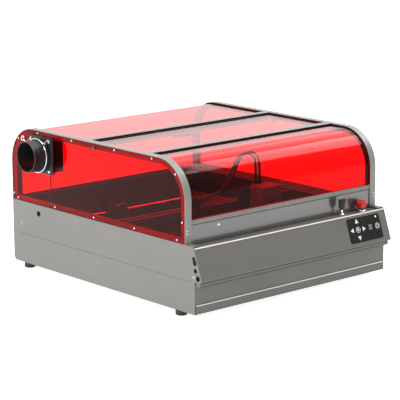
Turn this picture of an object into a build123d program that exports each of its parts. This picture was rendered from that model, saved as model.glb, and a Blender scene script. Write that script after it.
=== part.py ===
from build123d import *
import math
import os

os.makedirs("parts", exist_ok=True)

# ---------------------------------------------------------------------------
# Desktop laser cutter: steel base, hinged tinted hood, gantry with a diode head
# Machine coordinates: x = 0 at mid-width, y = 0 at the lower front face (rear
# is +y), z = 0 on the table. CX and FY move them to the row frame, whose origin
# is the middle of the footprint's bounding box, on the table.
# ---------------------------------------------------------------------------

# overall
HALF = 300.0            # half the width over the side panels
DEPTH = 678.0           # lower front face to rear panel
FOOT_H = 15.0
BASE_TOP = 168.0        # top of the side panels
SHEET = 2.0             # panel steel
SPIGOT_MOUTH = 347.0    # mouth of the exhaust spigot, left of the middle
SCREW_HEAD = 1.2
CX = (SPIGOT_MOUTH - (HALF + SCREW_HEAD)) / 2
FRONT_MOST = -23.085
FY = -(DEPTH + FRONT_MOST) / 2

# hood profile in the YZ plane
REAR_Y, FRONT_Y, TOP_Z = 677.7, 30.6, 351.3
R_REAR, R_FRONT = 86.0, 90.0
BAND_W, BAND_T, FLANGE = 18.5, 1.5, 16.0
GLASS, RECESS = 3.0, 4.0

# console face
FACE_Y, FACE_Z = 1.2, 163.5
FACE_LEN = 75.9
TILT = math.atan2(24.8, 70.5)
FS, FC = math.sin(TILT), math.cos(TILT)
LEDGE_Z = 164.0

# exhaust
DUCT_Y, DUCT_Z = 553.5, 294.5
DUCT_R, DUCT_WALL = 37.5, 2.5
FAN = 80.0
BEAD = 321.0             # hose bead round the spigot, left of the middle
FAN_PITCH = 71.5
LEAD_Y = 535.0

# lid hinge
HINGE_Y, HINGE_Z, PIN_R = 352.0, 339.0, 2.5

# motion system
RAIL_X0, RAIL_X1 = 240.0, 262.0
BEAM_Y0, BEAM_Y1, BEAM_Z0, BEAM_Z1 = 281.0, 315.0, 130.0, 170.0
PULLEY_R, BELT_IN, BELT_OUT = 5.7, 6.0, 7.2
YD_Y, YI_Y, YD_Z = 650.0, 60.0, 96.0
XP_X, XI_X, XB_Z = -230.0, 248.0, 138.0
HEAD_X0, HEAD_X1 = 98.0, 162.0

# keypad: x, distance down the face, half size
KEYS = {
    "key_up": (199.4, 16.0),
    "key_left": (180.3, 35.8),
    "key_start": (199.4, 35.8),
    "key_right": (218.5, 35.8),
    "key_down": (199.4, 55.4),
    "key_frame": (241.1, 35.6),
    "key_power": (264.5, 35.6),
}
KEY_R = 7.2
KEY_X, STOP_X, LEDGE_Y = 173.5, 239.2, 17.6


def XY(z):
    return Plane(origin=(CX, FY, z), x_dir=(1, 0, 0), z_dir=(0, 0, 1))


def YZ(x):
    return Plane(origin=(CX + x, FY, 0), x_dir=(0, 1, 0), z_dir=(1, 0, 0))


def XZ(y):
    return Plane(origin=(CX, FY + y, 0), x_dir=(1, 0, 0), z_dir=(0, -1, 0))


def FACE(h=0.0):
    """Plane on the console face, h above it; local x is across, local y is up the face."""
    return Plane(
        origin=(CX, FY + FACE_Y - FC * h, FACE_Z + FS * h),
        x_dir=(1, 0, 0),
        z_dir=(0, -FC, FS),
    )


def block(x0, x1, y0, y1, z0, z1, mode=Mode.ADD):
    with Locations((CX + (x0 + x1) / 2, FY + (y0 + y1) / 2, (z0 + z1) / 2)):
        Box(x1 - x0, y1 - y0, z1 - z0, mode=mode)


def rod_x(y, z, r, x0, x1, mode=Mode.ADD):
    with Locations((CX + (x0 + x1) / 2, FY + y, z)):
        Cylinder(r, x1 - x0, rotation=(0, 90, 0), mode=mode)


def rod_y(x, z, r, y0, y1, mode=Mode.ADD):
    with Locations((CX + x, FY + (y0 + y1) / 2, z)):
        Cylinder(r, y1 - y0, rotation=(90, 0, 0), mode=mode)


def rod_z(x, y, r, z0, z1, mode=Mode.ADD):
    with Locations((CX + x, FY + y, (z0 + z1) / 2)):
        Cylinder(r, z1 - z0, mode=mode)


def hood_area(d, zb, mode=Mode.ADD):
    """Area under the hood profile moved inward by d, down to zb, for a YZ sketch."""
    yr, yf, zt = REAR_Y - d, FRONT_Y + d, TOP_Z - d
    rr, rf = R_REAR - d, R_FRONT - d
    ry, rz = yr - rr, zt - rr
    fy, fz = yf + rf, zt - rf
    k = math.sqrt(0.5)
    with BuildLine() as outline:
        Line((yr, zb), (yr, rz))
        ThreePointArc((yr, rz), (ry + rr * k, rz + rr * k), (ry, zt))
        Line((ry, zt), (fy, zt))
        ThreePointArc((fy, zt), (fy - rf * k, fz + rf * k), (yf, fz))
        Line((yf, fz), (yf, zb))
        Line((yf, zb), (yr, zb))
    make_face(outline.edges(), mode=mode)


def save(part, name):
    part.part.label = name
    export_step(part.part, "parts/" + name + ".step")


# where the hood's side windows are screwed to the bands
SCREWS = (
    [(y, 174.5) for y in (58.4, 207.3, 355.6, 505.2, 654.2)]
    + [(y, 344.5) for y in (142.3, 275.7, 435.7, 568.7)]
    + [(40.6, 216.5), (671.0, 183.8), (62.6, 320.8), (648.0, 321.9)]
)
FAN_SCREWS = [
    (DUCT_Y + sy * FAN_PITCH / 2, DUCT_Z + sz * FAN_PITCH / 2)
    for sy in (-1, 1)
    for sz in (-1, 1)
]

# ---------------------------------------------------------------------------
# Base
# ---------------------------------------------------------------------------
with BuildPart() as base_pan:
    block(-297.8, 297.8, 0, 675.8, FOOT_H, FOOT_H + SHEET)
    block(-297.8, 297.8, 0, SHEET, FOOT_H, 100)
    block(-266, 266, -1, SHEET + 1, FOOT_H + SHEET, 34.8, mode=Mode.SUBTRACT)
    for fx in (-282, 282):
        for fy in (66, 638):
            rod_z(fx, fy, 2.6, FOOT_H - 1, FOOT_H + 3, mode=Mode.SUBTRACT)
save(base_pan, "base_pan")

SIDE_OUTLINE = [
    (0, FOOT_H),
    (670, FOOT_H),
    (672, FOOT_H + 6),
    (DEPTH, FOOT_H + 6),
    (DEPTH, BASE_TOP),
    (6, BASE_TOP),
    (FACE_Y, FACE_Z),
    (FACE_Y - FS * FACE_LEN, FACE_Z - FC * FACE_LEN),
    (-15.5, 89.4),
    (0, 89.4),
]

with BuildPart() as side_panel_left:
    with BuildSketch(YZ(-HALF)) as left_web:
        with BuildLine():
            Polyline(*SIDE_OUTLINE, close=True)
        make_face()
        fillet(left_web.vertices().sort_by(Axis.X)[0], 3)
        # power rocker slot, USB window and DC jack hole, square to the console face
        with Locations(Location((0.8, 136.6), -math.degrees(TILT))):
            RectangleRounded(10.0, 20.6, 4.6, mode=Mode.SUBTRACT)
        with Locations((-2.8, 115.3)):
            Circle(5.5, mode=Mode.SUBTRACT)
        with Locations((-11.0, 99.2)):
            Circle(6.5, mode=Mode.SUBTRACT)
        with Locations((572.6, 146.5)):
            Circle(5.0, mode=Mode.SUBTRACT)
    extrude(amount=SHEET)
    block(-HALF + SHEET, -282, 6, 677.5, 166, BASE_TOP)
    block(-HALF + SHEET, -287, 40, 655, FOOT_H + SHEET, FOOT_H + 2 * SHEET)
    rod_z(-289, LEAD_Y, 3.2, 160, 170, mode=Mode.SUBTRACT)
save(side_panel_left, "side_panel_left")

with BuildPart() as side_panel_right:
    with BuildSketch(YZ(HALF - SHEET)) as right_web:
        with BuildLine():
            Polyline(*SIDE_OUTLINE, close=True)
        make_face()
        fillet(right_web.vertices().sort_by(Axis.X)[0], 3)
    extrude(amount=SHEET)
    block(282, HALF - SHEET, 6, 677.5, 166, BASE_TOP)
    block(287, HALF - SHEET, 40, 655, FOOT_H + SHEET, FOOT_H + 2 * SHEET)
save(side_panel_right, "side_panel_right")

with BuildPart() as rear_panel:
    block(-297.8, 297.8, 676, DEPTH, FOOT_H, 165.7)
    block(-281.2, 281.2, 676, DEPTH, 165, 175)
    block(-281.2, 281.2, 674.2, DEPTH, 173, 175)
    for i in range(9):
        for z in (60, 70, 80, 90):
            block(120 + i * 14, 130 + i * 14, 670, 680, z, z + 4, mode=Mode.SUBTRACT)
save(rear_panel, "rear_panel")

with BuildPart() as front_panel:
    block(-297.6, 297.6, 33, 35, FOOT_H + SHEET, 163.6)
    block(-281, 281, 33, 35, 160, 207.8)
    block(-281, 281, 33, 46, 205.8, 207.8)
    block(-281, 281, 31.4, 33, 164.4, 168)
    block(-266, 266, 30, 40, FOOT_H + SHEET, 34.8, mode=Mode.SUBTRACT)
save(front_panel, "front_panel")

with BuildPart() as console_shell:
    c_y, c_z = FACE_Y - FS * FACE_LEN, FACE_Z - FC * FACE_LEN
    with BuildSketch(YZ(-297.8)) as console_profile:
        with BuildLine():
            Polyline(
                (32.8, LEDGE_Z),
                (FACE_Y + 0.18, LEDGE_Z),
                (c_y, c_z),
                (-15.5, 89.6),
                (-15.5, 79.8),
                (-0.3, 79.8),
                (-0.3, 81.3),
                (-14.0, 81.3),
                (-14.0, 91.2),
                (c_y + 1.95, c_z + 1.5),
                (FACE_Y + 1.25, LEDGE_Z - 1.5),
                (32.8, LEDGE_Z - 1.5),
                close=True,
            )
        make_face()
        fillet(console_profile.vertices().sort_by(Axis.X)[0], 3.0)
        fillet(
            console_profile.vertices().filter_by(
                lambda v: abs(v.Y - LEDGE_Z) < 0.01 and v.X < 10
            ),
            1.2,
        )
    extrude(amount=595.6)
    rod_z(KEY_X, LEDGE_Y, 5.55, 160, 166, mode=Mode.SUBTRACT)
    rod_z(STOP_X, LEDGE_Y, 8.05, 160, 166, mode=Mode.SUBTRACT)
    with BuildSketch(FACE(1)) as key_wells:
        with Locations(*[(kx, -ks) for kx, ks in KEYS.values()]):
            Circle(KEY_R + 0.3)
        with Locations((264.6, -13.3)):
            Circle(2.0)
    extrude(amount=-4, mode=Mode.SUBTRACT)
save(console_shell, "console_shell")

with BuildPart() as control_overlay:
    with BuildSketch(FACE()) as overlay_area:
        with Locations((222.5, -36.5)):
            RectangleRounded(109, 59, 5.5)
        with Locations(*[(kx, -ks) for kx, ks in KEYS.values()]):
            Circle(KEY_R + 0.3, mode=Mode.SUBTRACT)
    extrude(amount=0.8)
save(control_overlay, "control_overlay")

for key_name, (kx, ks) in KEYS.items():
    with BuildPart() as key_cap:
        with BuildSketch(FACE(-2.6)):
            with Locations((kx, -ks)):
                Circle(KEY_R)
        extrude(amount=3.6)
        fillet(key_cap.edges().group_by(Axis((0, 0, 0), (0, -FC, FS)))[-1], 0.35)
        with BuildSketch(FACE(-3.4)):
            with Locations((kx, -ks)):
                Circle(KEY_R + 1.1)
        extrude(amount=0.9)
    save(key_cap, key_name)

with BuildPart() as control_board:
    with BuildSketch(FACE(-12)):
        with Locations((222.5, -39)):
            Rectangle(112, 54)
    extrude(amount=1.6)
    with BuildSketch(FACE(-10.5)):
        with Locations(*[(kx, -ks) for kx, ks in KEYS.values()]):
            Rectangle(6, 6)
    extrude(amount=6.0)
    with BuildSketch(FACE(-10.5)):
        with Locations(*[(222.5 + sx * 50, -39 + sy * 23) for sx in (-1, 1) for sy in (-1, 1)]):
            Circle(2.6)
    extrude(amount=9.0)
save(control_board, "control_board")

with BuildPart() as key_lock_barrel:
    rod_z(KEY_X, LEDGE_Y, 6.4, LEDGE_Z, 167.0)
    chamfer(key_lock_barrel.edges().group_by(Axis.Z)[-1], 0.8)
    rod_z(KEY_X, LEDGE_Y, 5.5, 141, LEDGE_Z)
    rod_z(KEY_X, LEDGE_Y, 4.0, 152, 168, mode=Mode.SUBTRACT)
save(key_lock_barrel, "key_lock_barrel")

with BuildPart() as safety_key:
    rod_z(KEY_X, LEDGE_Y, 3.92, 152.4, 167.3)
    block(KEY_X - 2.6, KEY_X + 2.6, LEDGE_Y - 0.9, LEDGE_Y + 0.9, 167, 181)
    with BuildSketch(XZ(LEDGE_Y + 1.6)) as bow:
        with BuildLine():
            Polyline(
                (KEY_X - 10.8, 203.5),
                (KEY_X + 10.8, 203.5),
                (KEY_X + 10.8, 190.0),
                (KEY_X + 4.0, 179.5),
                (KEY_X - 4.0, 179.5),
                (KEY_X - 10.8, 190.0),
                close=True,
            )
        make_face()
        fillet(bow.vertices().group_by(Axis.Y)[-1], 2.2)
        fillet(bow.vertices().group_by(Axis.Y)[0], 2.5)
        with Locations((KEY_X, 199.3)):
            Circle(1.6, mode=Mode.SUBTRACT)
    extrude(amount=3.2)
save(safety_key, "safety_key")

with BuildPart() as estop_collar:
    rod_z(STOP_X, LEDGE_Y, 10.6, LEDGE_Z, 168.6)
    chamfer(estop_collar.edges().group_by(Axis.Z)[-1], 0.7)
    rod_z(STOP_X, LEDGE_Y, 8.0, 149, LEDGE_Z)
    rod_z(STOP_X, LEDGE_Y, 6.5, 148, 169, mode=Mode.SUBTRACT)
save(estop_collar, "estop_collar")

with BuildPart() as estop_stem:
    rod_z(STOP_X, LEDGE_Y, 6.44, 155, 176)
    rod_z(STOP_X, LEDGE_Y, 4.0, 176, 181)
save(estop_stem, "estop_stem")

with BuildPart() as estop_cap:
    with BuildSketch(Plane(origin=(CX + STOP_X, FY + LEDGE_Y, 0), x_dir=(1, 0, 0), z_dir=(0, -1, 0))):
        with BuildLine() as cap_line:
            Line((4.05, 176.2), (6.9, 176.2))
            Line((6.9, 176.2), (6.9, 172.8))
            Line((6.9, 172.8), (10.6, 172.8))
            ThreePointArc((10.6, 172.8), (11.4, 179.6), (14.5, 186.0))
            ThreePointArc((14.5, 186.0), (14.4, 187.8), (13.0, 188.9))
            Line((13.0, 188.9), (0, 190.0))
            Line((0, 190.0), (0, 181.3))
            Line((0, 181.3), (4.05, 181.3))
            Line((4.05, 181.3), (4.05, 176.2))
        make_face()
    revolve(axis=Axis((CX + STOP_X, FY + LEDGE_Y, 0), (0, 0, 1)))
save(estop_cap, "estop_cap")

# rocker: tilted 8 degrees to its off side about its own axle
ROCK_Y, ROCK_Z, ROCK_X = 0.8, 136.6, -298.6
ct, st = math.cos(math.radians(8)), math.sin(math.radians(8))
rock_n = (-ct, FS * st, FC * st)
rock_u = (st, FS * ct, FC * ct)
with BuildPart() as power_rocker:
    with BuildSketch(
        Plane(origin=(CX + ROCK_X, FY + ROCK_Y, ROCK_Z), x_dir=rock_u, z_dir=rock_n).offset(-1.8)
    ):
        RectangleRounded(18.0, 9.0, 4.0)
    extrude(amount=3.6)
    with BuildSketch(
        Plane(origin=(CX + ROCK_X, FY + ROCK_Y - FC * 4.75, ROCK_Z + FS * 4.75), x_dir=(1, 0, 0), z_dir=(0, FC, -FS))
    ):
        Circle(1.0)
    extrude(amount=9.5)
save(power_rocker, "power_rocker")

with BuildPart() as port_board:
    with BuildSketch(YZ(-286)):
        with Locations(Location((-6.6, 109.5), -math.degrees(TILT))):
            Rectangle(13, 30)
    extrude(amount=1.6)
    rod_x(-2.8, 115.3, 5.2, -299.4, -285.8)
    with BuildSketch(YZ(-299.6)):
        with Locations(Location((-2.8, 115.3), -math.degrees(TILT))):
            RectangleRounded(6.6, 7.2, 0.8)
    extrude(amount=8.0, mode=Mode.SUBTRACT)
    with BuildSketch(YZ(-297.6)):
        with Locations(Location((-2.8, 115.3), -math.degrees(TILT))):
            Rectangle(2.4, 4.4)
    extrude(amount=8.0)
    rod_x(-11.0, 99.2, 6.2, -300.4, -286)
    rod_x(-11.0, 99.2, 4.6, -301, -291, mode=Mode.SUBTRACT)
    rod_x(-11.0, 99.2, 1.25, -298.5, -290)
save(port_board, "port_board")

with BuildPart() as feet:
    for fx in (-282, 282):
        for fy in (66, 638):
            rod_z(fx, fy, 13.5, 0, FOOT_H)
    chamfer(feet.edges().group_by(Axis.Z)[0], 1.5)
    for fx in (-282, 282):
        for fy in (66, 638):
            rod_z(fx, fy, 2.55, FOOT_H - 0.1, FOOT_H + 3.2)
            rod_z(fx, fy, 4.5, FOOT_H + SHEET, FOOT_H + 4.4)
save(feet, "feet")

# ---------------------------------------------------------------------------
# Hood: two fixed bands, side windows, rear window and its frame
# ---------------------------------------------------------------------------
for side, name in ((-1, "band_left"), (1, "band_right")):
    with BuildPart() as band:
        # web over the full width of the band
        with BuildSketch(YZ(-HALF if side < 0 else HALF - BAND_W)):
            hood_area(0, BASE_TOP)
            hood_area(BAND_T, BASE_TOP - 1, mode=Mode.SUBTRACT)
        extrude(amount=BAND_W)
        # inner flange
        with BuildSketch(YZ(-HALF + BAND_W - BAND_T if side < 0 else HALF - BAND_W)):
            hood_area(0, BASE_TOP)
            hood_area(FLANGE, BASE_TOP - 1, mode=Mode.SUBTRACT)
        extrude(amount=BAND_T)
        # outer flange, which the side window is screwed to
        with BuildSketch(YZ(-HALF + GLASS if side < 0 else HALF - GLASS - BAND_T)):
            hood_area(0, BASE_TOP)
            hood_area(FLANGE, 181, mode=Mode.SUBTRACT)
            with Locations(*SCREWS):
                Circle(1.45, mode=Mode.SUBTRACT)
            with Locations((HINGE_Y, HINGE_Z)):
                Circle(PIN_R + 0.05, mode=Mode.SUBTRACT)
        extrude(amount=BAND_T)
        rod_x(
            HINGE_Y,
            HINGE_Z,
            PIN_R + 0.05,
            -HALF + 2 if side < 0 else HALF - 30,
            -HALF + 30 if side < 0 else HALF - 2,
            mode=Mode.SUBTRACT,
        )
        for z in (190.5, 198.0):
            rod_y(side * 294, z, 1.25, 28, 34, mode=Mode.SUBTRACT)
    save(band, name)

for side, name in ((-1, "side_window_left"), (1, "side_window_right")):
    with BuildPart() as side_window:
        with BuildSketch(YZ(-HALF if side < 0 else HALF - GLASS)):
            hood_area(BAND_T + 0.2, BASE_TOP + 0.2)
            with Locations(*SCREWS):
                Circle(1.7, mode=Mode.SUBTRACT)
            with Locations((HINGE_Y, HINGE_Z)):
                Circle(PIN_R + 0.3, mode=Mode.SUBTRACT)
            if side < 0:
                with Locations((DUCT_Y, DUCT_Z)):
                    Circle(36.5, mode=Mode.SUBTRACT)
                with Locations(*FAN_SCREWS):
                    Circle(2.3, mode=Mode.SUBTRACT)
        extrude(amount=GLASS)
    save(side_window, name)

with BuildPart() as rear_hood_window:
    with BuildSketch(YZ(-281.2)):
        hood_area(RECESS, 170)
        hood_area(RECESS + GLASS, 169, mode=Mode.SUBTRACT)
        with Locations((200, 260)):
            Rectangle(402.6, 300, mode=Mode.SUBTRACT)
    extrude(amount=562.4)
save(rear_hood_window, "rear_hood_window")

with BuildPart() as rear_hood_frame:
    block(-281, 281, 383, 401, 349.3, TOP_Z)
    block(-281, 281, 383, 385, 330, TOP_Z)
    block(-281, 281, 399, 401, 342.3, TOP_Z)
    block(-281, 281, 399, 418, 342.3, 344.3)
    for x0 in (-281, 276):
        with BuildSketch(YZ(x0)):
            hood_area(RECESS + GLASS, 178)
            hood_area(RECESS + GLASS + 2, 177, mode=Mode.SUBTRACT)
            with Locations((200, 260)):
                Rectangle(420, 300, mode=Mode.SUBTRACT)
        extrude(amount=5)
save(rear_hood_frame, "rear_hood_frame")

with BuildPart() as camera_pod:
    block(-32, 54, 385, 398.6, 323, 348)
    chamfer(camera_pod.edges().filter_by(Axis.Y).group_by(Axis.Z)[0], 8)
    rod_z(11, 391.8, 4.5, 321, 324)
    for lx in (-14, 36):
        rod_z(lx, 391.8, 3.0, 322, 324)
save(camera_pod, "camera_pod")

with BuildPart() as hinge_pins:
    for s in (-1, 1):
        a, b = sorted((s * 264.5, s * 300.0))
        rod_x(HINGE_Y, HINGE_Z, PIN_R, a, b)
        a, b = sorted((s * 300.0, s * 301.2))
        rod_x(HINGE_Y, HINGE_Z, 4.6, a, b)
save(hinge_pins, "hinge_pins")

with BuildPart() as panel_screws:
    for s in (-1, 1):
        a, b = sorted((s * 300.0, s * (HALF + SCREW_HEAD)))
        c, d = sorted((s * 294.0, s * 300.0))
        for sy, sz in SCREWS:
            rod_x(sy, sz, 2.3, a, b)
            rod_x(sy, sz, 1.4, c, d)
        for z in (190.5, 198.0):
            rod_y(s * 294, z, 1.9, 29.7, 30.6)
            rod_y(s * 294, z, 1.2, 30.5, 33.5)
    for sy, sz in FAN_SCREWS:
        rod_x(sy, sz, 3.8, -308.0, -305.0)
        rod_x(sy, sz, 1.95, -305.1, -290)
save(panel_screws, "panel_screws")

# ---------------------------------------------------------------------------
# Exhaust
# ---------------------------------------------------------------------------
with BuildPart() as exhaust_spigot:
    with BuildSketch(YZ(-305)):
        with Locations((DUCT_Y, DUCT_Z)):
            RectangleRounded(93, 89, 7)
    extrude(amount=5)
    fillet(exhaust_spigot.edges().group_by(Axis.X)[0], 1.0)
    rod_x(DUCT_Y, DUCT_Z, DUCT_R + 1.5, -309, -304.5)
    rod_x(DUCT_Y, DUCT_Z, DUCT_R, -SPIGOT_MOUTH, -305)
    rod_x(DUCT_Y, DUCT_Z, DUCT_R + 0.8, -BEAD - 1.5, -BEAD)
    rod_x(DUCT_Y, DUCT_Z, DUCT_R - DUCT_WALL, -SPIGOT_MOUTH - 1, -299, mode=Mode.SUBTRACT)
    for sy, sz in FAN_SCREWS:
        rod_x(sy, sz, 2.2, -306, -299, mode=Mode.SUBTRACT)
save(exhaust_spigot, "exhaust_spigot")

clamp_x = CX - 316.0
clamp_y = FY + DUCT_Y
clamp_wire = Solid.make_torus(40.3, 1.45, Plane(origin=(clamp_x, clamp_y, DUCT_Z), z_dir=(1, 0, 0)))
clamp_wire += Solid.make_cylinder(1.2, 19.5, Plane(origin=(clamp_x, clamp_y + 34.0, DUCT_Z + 21.5), z_dir=(0, 0.845, 0.535)))
# tightening block and bolt
clamp_wire += Pos(clamp_x, clamp_y - 31.0, DUCT_Z + 30.2) * Rot(45, 0, 0) * Box(4, 7, 8)
clamp_wire += Solid.make_cylinder(1.6, 19, Plane(origin=(clamp_x, clamp_y - 30.4, DUCT_Z + 32.0), z_dir=(0, -0.84, 0.54)))
# finger loop at the end of its wire tail, a quarter of a millimetre to one side of it
clamp_wire += Solid.make_torus(5.4, 1.2, Plane(origin=(clamp_x + 0.25, clamp_y + 54.5, DUCT_Z + 34.5), z_dir=(1, 0, 0)))
with BuildPart() as hose_clamp:
    add(clamp_wire)
print("hose_clamp volume", round(hose_clamp.part.volume), "solids", len(hose_clamp.part.solids()))
save(hose_clamp, "hose_clamp")

with BuildPart() as fan_housing:
    with BuildSketch(YZ(-296.8)):
        with Locations((DUCT_Y, DUCT_Z)):
            RectangleRounded(FAN, FAN, 5)
    extrude(amount=30)
    rod_x(DUCT_Y, DUCT_Z, 37.8, -297, -266, mode=Mode.SUBTRACT)
    for a in (20, 110, 200, 290):
        ca, sa = math.cos(math.radians(a)), math.sin(math.radians(a))
        with BuildSketch(YZ(-269.8)):
            with Locations(Location((DUCT_Y + 27 * ca, DUCT_Z + 27 * sa), a)):
                Rectangle(26, 4)
        extrude(amount=3)
    rod_x(DUCT_Y, DUCT_Z, 16.5, -269.8, -266.8)
    rod_x(DUCT_Y, DUCT_Z, 2.05, -270, -266, mode=Mode.SUBTRACT)
    for sy, sz in FAN_SCREWS:
        rod_x(sy, sz, 2.0, -298, -288, mode=Mode.SUBTRACT)
save(fan_housing, "fan_housing")

with BuildPart() as fan_rotor:
    rod_x(DUCT_Y, DUCT_Z, 16.0, -294, -271)
    fillet(fan_rotor.edges().group_by(Axis.X)[0], 3)
    rod_x(DUCT_Y, DUCT_Z, 2.0, -271.5, -267.2)
    for i in range(7):
        a = i * 360 / 7
        ca, sa = math.cos(math.radians(a)), math.sin(math.radians(a))
        blade_plane = Plane(
            origin=(CX - 282.5, FY + DUCT_Y + 14 * ca, DUCT_Z + 14 * sa),
            x_dir=(math.cos(math.radians(38)), -sa * math.sin(math.radians(38)), ca * math.sin(math.radians(38))),
            z_dir=(0, ca, sa),
        )
        with BuildSketch(blade_plane):
            Rectangle(21, 1.8)
        extrude(amount=22.0)
save(fan_rotor, "fan_rotor")

with BuildPart() as fan_lead:
    rod_z(-289, LEAD_Y, 1.75, 150, 254.3)
    block(-292.5, -285.5, LEAD_Y - 2.5, LEAD_Y + 2.5, 141, 150)
save(fan_lead, "fan_lead")

# ---------------------------------------------------------------------------
# Lid
# ---------------------------------------------------------------------------
with BuildPart() as lid_window_top:
    block(-280.6, 280.6, 186.4, 378, 344.3, 347.3)
save(lid_window_top, "lid_window_top")

with BuildPart() as lid_window_front:
    with BuildSketch(YZ(-280.6)):
        hood_area(RECESS, 213)
        hood_area(RECESS + GLASS, 212, mode=Mode.SUBTRACT)
        with Locations((464.6, 260)):
            Rectangle(600, 300, mode=Mode.SUBTRACT)
    extrude(amount=561.2)
save(lid_window_front, "lid_window_front")

with BuildPart() as lid_crossbar:
    block(-280.6, 280.6, 165, 186, 349.3, TOP_Z)
    fillet(lid_crossbar.edges().filter_by(Axis.X).group_by(Axis.Z)[-1], 0.8)
    block(-263.6, 263.6, 165, 167, 342.3, 350)
    block(-263.6, 263.6, 184, 186, 342.3, 350)
    block(-263.6, 263.6, 148, 167, 342.3, 344.2)
    block(-263.6, 263.6, 184, 202, 342.3, 344.2)
save(lid_crossbar, "lid_crossbar")

with BuildPart() as lid_frame:
    for x0, x1 in ((-279, -278), (274, 265)):
        with BuildSketch(YZ(x0)):
            hood_area(RECESS + GLASS, 211)
            hood_area(RECESS + GLASS + 3, 210, mode=Mode.SUBTRACT)
            with Locations((676, 260)):
                Rectangle(600, 300, mode=Mode.SUBTRACT)
        extrude(amount=5)
        block(x1, x1 + 13, 344, 360, 331, 342)
    block(-279, 279, 362, 376, 341.3, 344.2)
    block(-280.6, 280.6, 31.6, 42.4, 209.6, 219.4)
    block(-281, 281, 34.4, 37.8, 212.7, 220, mode=Mode.SUBTRACT)
    rod_x(HINGE_Y, HINGE_Z, PIN_R + 0.06, -282, -262, mode=Mode.SUBTRACT)
    rod_x(HINGE_Y, HINGE_Z, PIN_R + 0.06, 262, 282, mode=Mode.SUBTRACT)
save(lid_frame, "lid_frame")

# ---------------------------------------------------------------------------
# Bed and drawer
# ---------------------------------------------------------------------------
with BuildPart() as work_bed:
    block(-276, 276, 60, 600, 50, 62)
    block(-264, 264, 72, 588, 49, 63, mode=Mode.SUBTRACT)
    for i in range(16):
        y = 100 + i * 30.5
        block(-265, 265, y - 1, y + 1, 51, 61.6)
    for s in (-1, 1):
        a, b = sorted((s * 268, s * 276))
        for y in (80, 580):
            block(a, b, y - 10, y + 10, FOOT_H + SHEET, 50)
save(work_bed, "work_bed")

with BuildPart() as debris_drawer:
    block(-297, 297, -1.8, -0.3, 15.6, 35.8)
    fillet(debris_drawer.edges().filter_by(Axis.X).group_by(Axis.Y)[0], 0.6)
    block(-262, 262, -0.5, 560, 17.5, 33)
    block(-260.6, 260.6, 1.0, 558.6, 18.8, 34, mode=Mode.SUBTRACT)
save(debris_drawer, "debris_drawer")

# ---------------------------------------------------------------------------
# Y axis
# ---------------------------------------------------------------------------
with BuildPart() as y_rails:
    for s in (-1, 1):
        a, b = sorted((s * RAIL_X0, s * RAIL_X1))
        block(a, b, 35.2, 675.8, 80, 108)
        a, b = sorted((s * 245, s * 257))
        block(a, b, 45, 665, 108, 114)
        a, b = sorted((s * 239, s * 244))
        rod_x(YD_Y, YD_Z, 3.06, a, b, mode=Mode.SUBTRACT)
        rod_x(YI_Y, YD_Z, 3.06, a, b, mode=Mode.SUBTRACT)
save(y_rails, "y_rails")

with BuildPart() as y_belts:
    for s in (-1, 1):
        with BuildSketch(YZ(s * 231 - 3)):
            with Locations(((YD_Y + YI_Y) / 2, YD_Z)):
                SlotCenterToCenter(YD_Y - YI_Y, 2 * BELT_OUT)
                SlotCenterToCenter(YD_Y - YI_Y, 2 * BELT_IN, mode=Mode.SUBTRACT)
        extrude(amount=6)
save(y_belts, "y_belts")

with BuildPart() as y_drive_shaft:
    rod_x(YD_Y, YD_Z, 3.0, -243.5, 243.5)
    for s in (-1, 1):
        a, b = sorted((s * 227, s * 235))
        rod_x(YD_Y, YD_Z, PULLEY_R, a, b)
        a, b = sorted((s * 226, s * 227.4))
        rod_x(YD_Y, YD_Z, 7.6, a, b)
        a, b = sorted((s * 234.6, s * 236))
        rod_x(YD_Y, YD_Z, 7.6, a, b)
save(y_drive_shaft, "y_drive_shaft")

with BuildPart() as y_idler_pulleys:
    for s in (-1, 1):
        a, b = sorted((s * 226, s * 243.5))
        rod_x(YI_Y, YD_Z, 3.0, a, b)
        a, b = sorted((s * 227, s * 235))
        rod_x(YI_Y, YD_Z, PULLEY_R, a, b)
        a, b = sorted((s * 226, s * 227.4))
        rod_x(YI_Y, YD_Z, 7.6, a, b)
        a, b = sorted((s * 234.6, s * 236))
        rod_x(YI_Y, YD_Z, 7.6, a, b)
save(y_idler_pulleys, "y_idler_pulleys")

with BuildPart() as y_motor:
    block(-20, 20, YD_Y - 21, YD_Y + 21, YD_Z - 21, YD_Z + 21)
    chamfer(y_motor.edges().filter_by(Axis.X), 3)
    block(-26, 26, YD_Y + 21, 676, YD_Z - 24, YD_Z + 24)
    rod_x(YD_Y, YD_Z, 3.08, -30, 30, mode=Mode.SUBTRACT)
save(y_motor, "y_motor")

# ---------------------------------------------------------------------------
# Gantry
# ---------------------------------------------------------------------------
with BuildPart() as gantry_beam:
    block(-255, 255, BEAM_Y0, BEAM_Y1, BEAM_Z0, BEAM_Z1)
    block(-260, 260, 294, 302, BEAM_Z1 - 3, BEAM_Z1 + 1, mode=Mode.SUBTRACT)
    block(-260, 260, 292, 304, BEAM_Z1 - 6, BEAM_Z1 - 2.9, mode=Mode.SUBTRACT)
    block(-245, 245, 275, BEAM_Y0, 152, 164)
    rod_y(XP_X, XB_Z, 2.56, 274, 316, mode=Mode.SUBTRACT)
    rod_y(XI_X, XB_Z, 2.56, 274, 301, mode=Mode.SUBTRACT)
save(gantry_beam, "gantry_beam")

with BuildPart() as gantry_end_plates:
    for s in (-1, 1):
        a, b = sorted((s * 226, s * 272))
        block(a, b, 277, 319, 124, 130)
        a, b = sorted((s * 241, s * 261))
        block(a, b, 277, 319, 108.5, 124)
        a, b = sorted((s * 244.7, s * 257.3))
        block(a, b, 276, 320, 108, 114.3, mode=Mode.SUBTRACT)
        a, b = sorted((s * 227, s * 236))
        block(a, b, 288, 308, 103.7, 124)
save(gantry_end_plates, "gantry_end_plates")

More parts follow.
